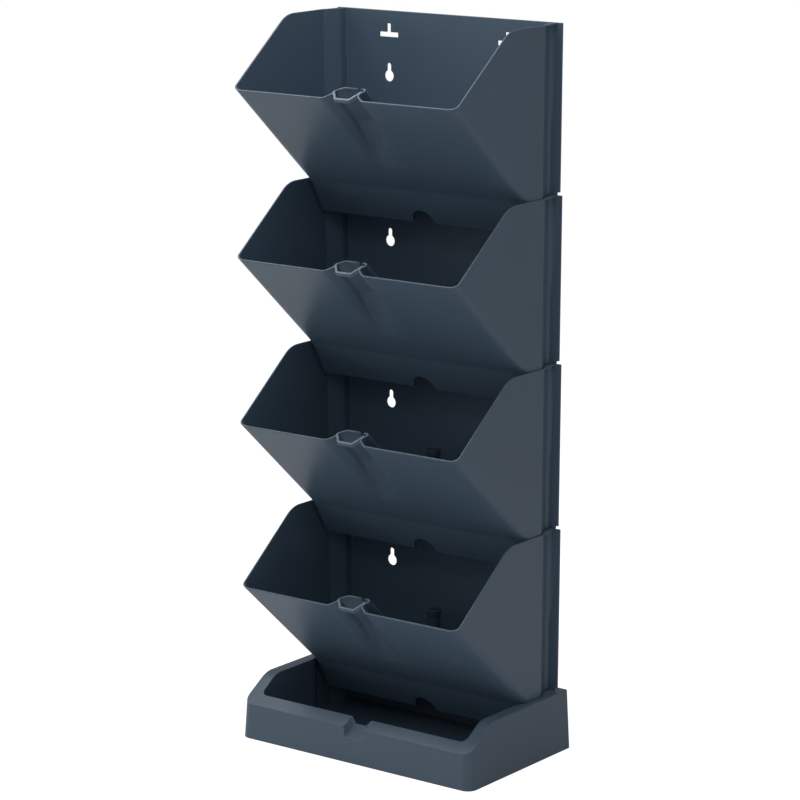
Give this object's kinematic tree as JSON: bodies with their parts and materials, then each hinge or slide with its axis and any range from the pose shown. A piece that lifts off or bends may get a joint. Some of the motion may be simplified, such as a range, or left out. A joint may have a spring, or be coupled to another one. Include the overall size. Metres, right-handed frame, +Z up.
{
  "type": "vertical planter",
  "caption": "Free-standing stack of slant-mouthed plant pockets over a water tray, each with a tool ring, an overflow tube and keyholes for a wall.",
  "frame": {"origin": "centre of the footprint of the whole object, on the surface that it stands on", "axes": "+Z up, +Y towards the wall behind the planter, +X to the right seen from the front"},
  "size_m": [0.3036, 0.1866, 0.7636],
  "materials": {
    "tier_plastic": "satin moulded plastic, slate",
    "base_plastic": "satin moulded plastic, slate",
    "tube_plastic": "satin moulded plastic, dark slate"
  },
  "bodies": {
    "base": {"base_tray": "base_plastic"},
    "tier_1": {"tier_1": "tier_plastic"},
    "tube_1": {"overflow_tube_1": "tube_plastic", "tube_cap_1": "tube_plastic"},
    "tier_2": {"tier_2": "tier_plastic"},
    "tube_2": {"overflow_tube_2": "tube_plastic", "tube_cap_2": "tube_plastic"},
    "tier_3": {"tier_3": "tier_plastic"},
    "tube_3": {"overflow_tube_3": "tube_plastic", "tube_cap_3": "tube_plastic"},
    "tier_4": {"tier_4": "tier_plastic"},
    "tube_4": {"overflow_tube_4": "tube_plastic", "tube_cap_4": "tube_plastic"}
  },
  "joints": [
    {"name": "tier_1_lift", "type": "slide", "parent": "base", "child": "tier_1", "axis": [0, 0, 1], "range_m": [0, 0.08]},
    {"name": "tube_1_lift", "type": "slide", "parent": "tier_1", "child": "tube_1", "axis": [0, 0, 1], "range_m": [0, 0.045]},
    {"name": "tier_2_lift", "type": "slide", "parent": "tier_1", "child": "tier_2", "axis": [0, 0, 1], "range_m": [0, 0.08]},
    {"name": "tube_2_lift", "type": "slide", "parent": "tier_2", "child": "tube_2", "axis": [0, 0, 1], "range_m": [0, 0.045]},
    {"name": "tier_3_lift", "type": "slide", "parent": "tier_2", "child": "tier_3", "axis": [0, 0, 1], "range_m": [0, 0.08]},
    {"name": "tube_3_lift", "type": "slide", "parent": "tier_3", "child": "tube_3", "axis": [0, 0, 1], "range_m": [0, 0.045]},
    {"name": "tier_4_lift", "type": "slide", "parent": "tier_3", "child": "tier_4", "axis": [0, 0, 1], "range_m": [0, 0.08]},
    {"name": "tube_4_lift", "type": "slide", "parent": "tier_4", "child": "tube_4", "axis": [0, 0, 1], "range_m": [0, 0.045]}
  ]
}
